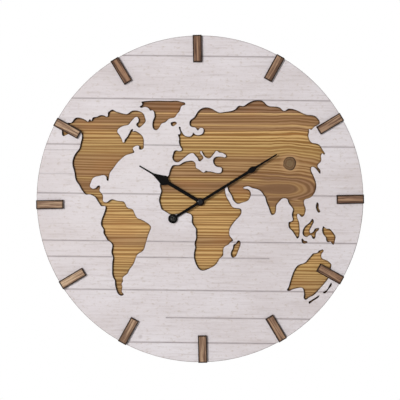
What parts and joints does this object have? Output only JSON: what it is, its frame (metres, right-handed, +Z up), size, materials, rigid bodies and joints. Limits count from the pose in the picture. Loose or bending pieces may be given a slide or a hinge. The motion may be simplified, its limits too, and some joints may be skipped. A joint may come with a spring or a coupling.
{
  "type": "world time clock",
  "caption": "Round whitewashed wooden wall clock with a world map cut through to pine boards, stained hour bars, black spade hands and a quartz movement.",
  "frame": {"origin": "centre of the keyhole plate's round hole, in the plane of the wall", "axes": "+Y points from the face into the wall, +Z is up and +X is to the viewer's right; the face looks along -Y"},
  "size_m": [0.6012, 0.0454, 0.6014],
  "materials": {
    "whitewashed_wood": "matt whitewash",
    "pine": "oiled",
    "stained_wood": "dark stain, edges burnt",
    "batten_wood": "planed, raw",
    "zinc_steel": "zinc plated",
    "hand_black": "black lacquer on thin sheet",
    "cap_black": "gloss black",
    "case_plastic": "moulded",
    "knob_plastic": "moulded",
    "brass": "turned",
    "gasket_rubber": "matt",
    "gear_plastic": "moulded acetal",
    "bridge_plastic": "moulded",
    "board_laminate": "printed circuit laminate",
    "chip_epoxy": "epoxy drop",
    "crystal_can": "drawn can",
    "soft_iron": "stamped",
    "bobbin_plastic": "moulded",
    "copper_wire": "enamelled",
    "magnet": "sintered",
    "cell_sleeve": "plain printed sleeve",
    "contact_steel": "nickel plated spring steel"
  },
  "bodies": {
    "clock_body": {"face_board": "whitewashed_wood", "pine_board_1": "pine", "pine_board_2": "pine", "pine_board_3": "pine", "pine_board_4": "pine", "pine_board_5": "pine", "hour_bar_01": "stained_wood", "hour_bar_02": "stained_wood", "hour_bar_03": "stained_wood", "hour_bar_04": "stained_wood", "hour_bar_05": "stained_wood", "hour_bar_06": "stained_wood", "hour_bar_07": "stained_wood", "hour_bar_08": "stained_wood", "hour_bar_09": "stained_wood", "hour_bar_10": "stained_wood", "hour_bar_11": "stained_wood", "hour_bar_12": "stained_wood", "batten_left": "batten_wood", "batten_right": "batten_wood", "hanger_rail": "batten_wood", "hanger_plate": "zinc_steel", "batten_screws": "zinc_steel", "rail_screws": "zinc_steel", "hanger_screws": "zinc_steel", "movement_front_case": "case_plastic", "movement_back_cover": "case_plastic", "centre_bush": "brass", "bush_gasket": "gasket_rubber", "bush_washer": "brass", "bush_nut": "brass", "gear_bridge": "bridge_plastic", "circuit_board": "board_laminate", "clock_chip": "chip_epoxy", "quartz_crystal": "crystal_can", "motor_stator": "soft_iron", "coil_core": "soft_iron", "coil_bobbin": "bobbin_plastic", "coil_winding": "copper_wire", "battery_cell": "cell_sleeve", "positive_contact": "contact_steel", "negative_contact": "contact_steel"},
    "minute_hand_set": {"minute_hand": "hand_black", "minute_arbor": "brass", "cap_nut": "cap_black"},
    "hour_hand_set": {"hour_hand": "hand_black", "hour_wheel": "gear_plastic"},
    "setting_set": {"motion_wheel": "gear_plastic", "setting_knob": "knob_plastic"},
    "rotor_set": {"rotor_magnet": "magnet", "rotor_pinion": "gear_plastic"},
    "intermediate_set": {"intermediate_wheel": "gear_plastic"},
    "second_set": {"second_wheel": "gear_plastic"},
    "third_set": {"third_wheel": "gear_plastic"},
    "centre_set": {"centre_wheel": "gear_plastic"}
  },
  "joints": [
    {"name": "minute_hand_turn", "type": "hinge", "parent": "clock_body", "child": "minute_hand_set", "pos_m": [0, -0.02, -0.1956], "axis": [0, 1, 0], "continuous": true},
    {"name": "hour_hand_turn", "type": "hinge", "parent": "clock_body", "child": "hour_hand_set", "pos_m": [0, -0.02, -0.1956], "axis": [0, 1, 0], "continuous": true},
    {"name": "setting_turn", "type": "hinge", "parent": "clock_body", "child": "setting_set", "pos_m": [-0.0088, -0.02, -0.1956], "axis": [0, 1, 0], "continuous": true},
    {"name": "rotor_turn", "type": "hinge", "parent": "clock_body", "child": "rotor_set", "pos_m": [0.0107, -0.02, -0.18954], "axis": [0, 1, 0], "continuous": true},
    {"name": "intermediate_turn", "type": "hinge", "parent": "clock_body", "child": "intermediate_set", "pos_m": [0.0072, -0.02, -0.1956], "axis": [0, 1, 0], "continuous": true},
    {"name": "second_turn", "type": "hinge", "parent": "clock_body", "child": "second_set", "pos_m": [0, -0.02, -0.1956], "axis": [0, 1, 0], "continuous": true},
    {"name": "third_turn", "type": "hinge", "parent": "clock_body", "child": "third_set", "pos_m": [0.00148, -0.02, -0.18723], "axis": [0, 1, 0], "continuous": true},
    {"name": "centre_turn", "type": "hinge", "parent": "clock_body", "child": "centre_set", "pos_m": [0, -0.02, -0.1956], "axis": [0, 1, 0], "continuous": true}
  ],
  "couplings": [
    {"joint": "hour_hand_turn", "follows": "minute_hand_turn", "ratio": 0.083333},
    {"joint": "setting_turn", "follows": "minute_hand_turn", "ratio": -0.33333},
    {"joint": "intermediate_turn", "follows": "rotor_turn", "ratio": -0.16667},
    {"joint": "second_turn", "follows": "rotor_turn", "ratio": 0.033333},
    {"joint": "third_turn", "follows": "rotor_turn", "ratio": -0.0044444},
    {"joint": "centre_turn", "follows": "rotor_turn", "ratio": 0.00055556}
  ]
}
